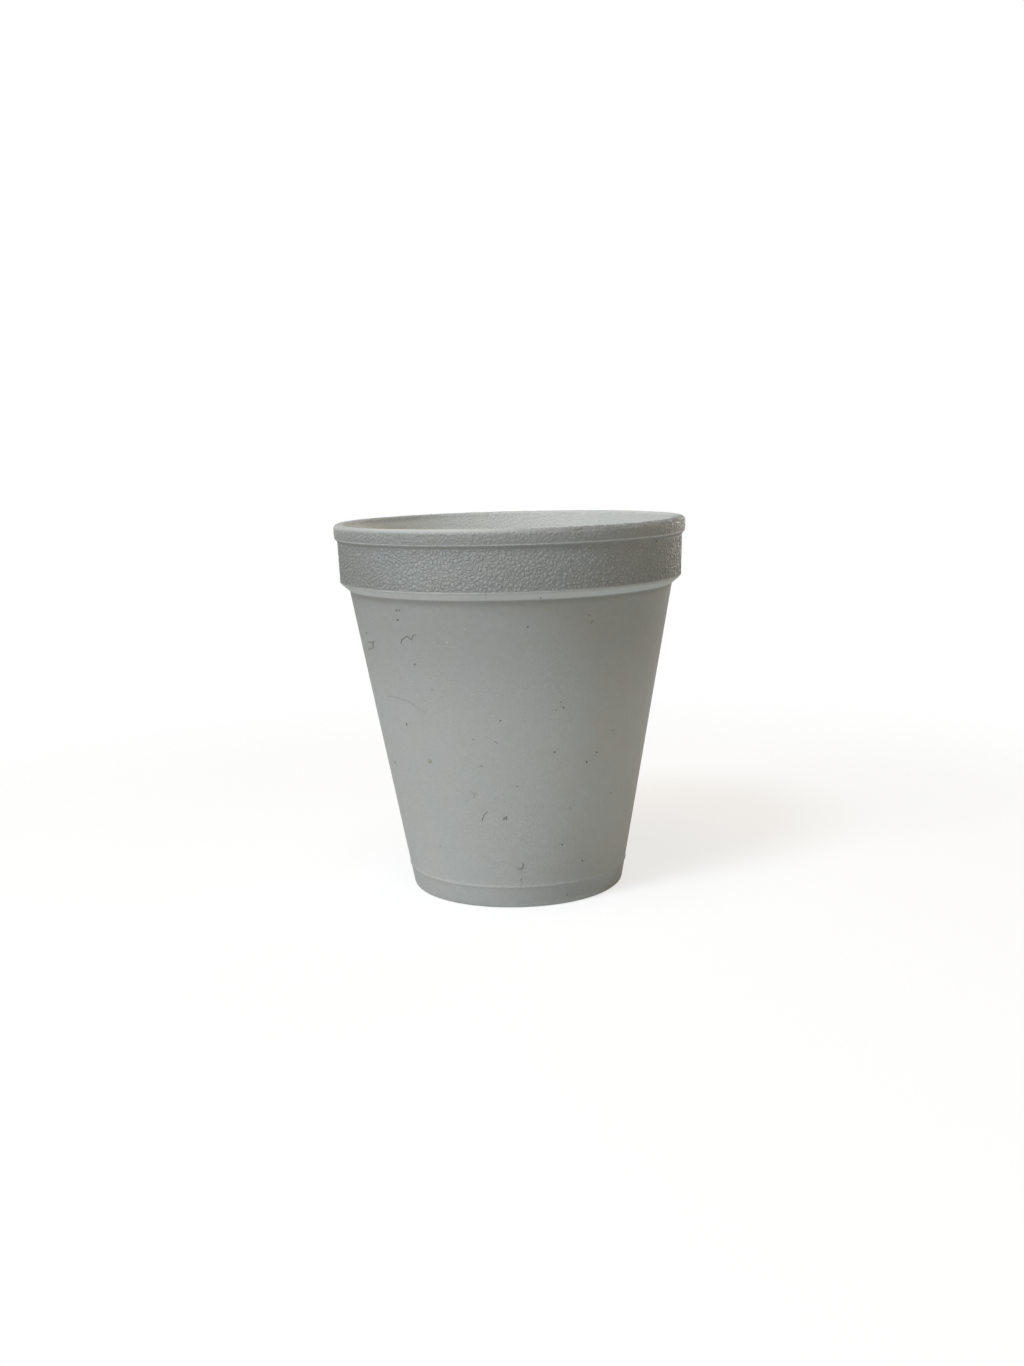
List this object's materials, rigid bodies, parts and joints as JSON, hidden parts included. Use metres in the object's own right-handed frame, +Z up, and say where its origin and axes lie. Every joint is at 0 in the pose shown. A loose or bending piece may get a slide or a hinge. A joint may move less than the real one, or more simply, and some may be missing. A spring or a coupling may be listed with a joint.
{
  "type": "foam cup",
  "caption": "Moulded white foam cup, open at the top, with a rounded rim bead, a straight collar, a stacking shoulder and a tapered body on a foot ring, for hot or cold drinks.",
  "frame": {"origin": "centre of the foot ring, on the surface that the cup stands on", "axes": "+Z up along the cup's axis; the cup is turned about it, so X and Y are free; the side with the gathered dust faces -Y"},
  "size_m": [0.08, 0.08, 0.0845],
  "materials": {
    "foam": "matte white expanded foam with a fine bead grain and a few specks of dust"
  },
  "bodies": {
    "root": {"foam_cup": "foam"}
  },
  "joints": []
}
